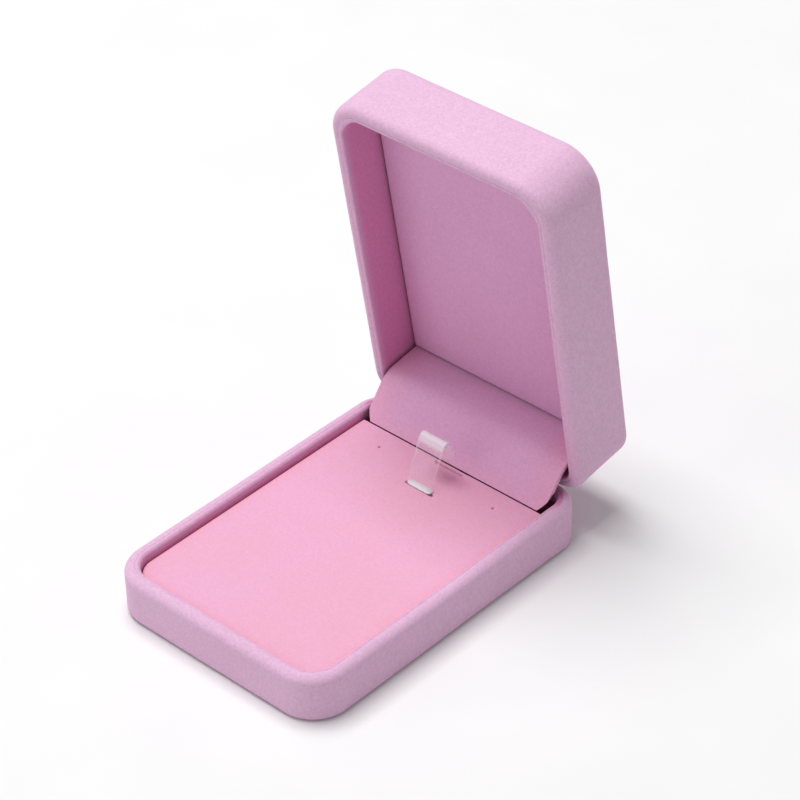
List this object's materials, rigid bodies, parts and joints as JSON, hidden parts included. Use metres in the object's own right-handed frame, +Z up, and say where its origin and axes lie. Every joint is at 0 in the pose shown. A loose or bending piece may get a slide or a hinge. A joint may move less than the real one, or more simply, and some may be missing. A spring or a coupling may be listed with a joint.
{
  "type": "jewelry box",
  "caption": "Velvet-covered pendant box with rounded corners: a shallow base with a pad and clear strap, and a deeper lid on a rear hinge.",
  "frame": {"origin": "centre of the underside that the base stands on", "axes": "+X to the right seen from the front, +Y towards the hinge, +Z up; the lid is open at rest"},
  "size_m": [0.065, 0.1079, 0.1037],
  "materials": {
    "velvet": "short-pile velvet, pale mauve pink, matt with a soft sheen",
    "pad_velvet": "short-pile velvet over foam, rose pink",
    "panel_velvet": "short-pile velvet over card, rose mauve",
    "flap_velvet": "velvet strip, rose mauve",
    "shell_plastic": "moulded, hidden under the velvet",
    "card": "grey-brown card",
    "foam": "open-cell foam",
    "clear_plastic": "clear, glossy strip",
    "steel": "plated spring steel"
  },
  "bodies": {
    "base": {"base_cover": "velvet", "underside_sheet": "velvet", "base_shell": "shell_plastic", "base_wall_board": "card", "pad_cover": "pad_velvet", "pad_foam": "foam", "pad_board": "card", "pad_support": "foam", "pendant_strap": "clear_plastic", "hinge_leaf_base": "steel", "hinge_pin": "steel", "hinge_spring": "steel", "base_rivet_left": "steel", "base_rivet_right": "steel"},
    "lid": {"lid_cover": "velvet", "lid_shell": "shell_plastic", "lid_wall_board": "card", "lid_panel_cover": "panel_velvet", "lid_panel_board": "card", "lid_panel_foam": "foam", "hinge_cover_fabric": "flap_velvet", "hinge_cover_board": "card", "hinge_leaf_lid": "steel", "lid_rivet_left": "steel", "lid_rivet_right": "steel"},
    "flap": {"flap_fabric": "flap_velvet", "flap_board": "card"}
  },
  "joints": [
    {"name": "lid_hinge", "type": "hinge", "parent": "base", "child": "lid", "pos_m": [0, 0.0443, 0.01245], "axis": [1, 0, 0], "range_deg": [0, 80.7]},
    {"name": "flap_crease", "type": "hinge", "parent": "lid", "child": "flap", "pos_m": [0, 0.04306, 0.02005], "axis": [1, 0, 0], "range_deg": [-15, 0]}
  ],
  "couplings": [
    {"joint": "flap_crease", "follows": "lid_hinge", "ratio": -0.1834}
  ]
}
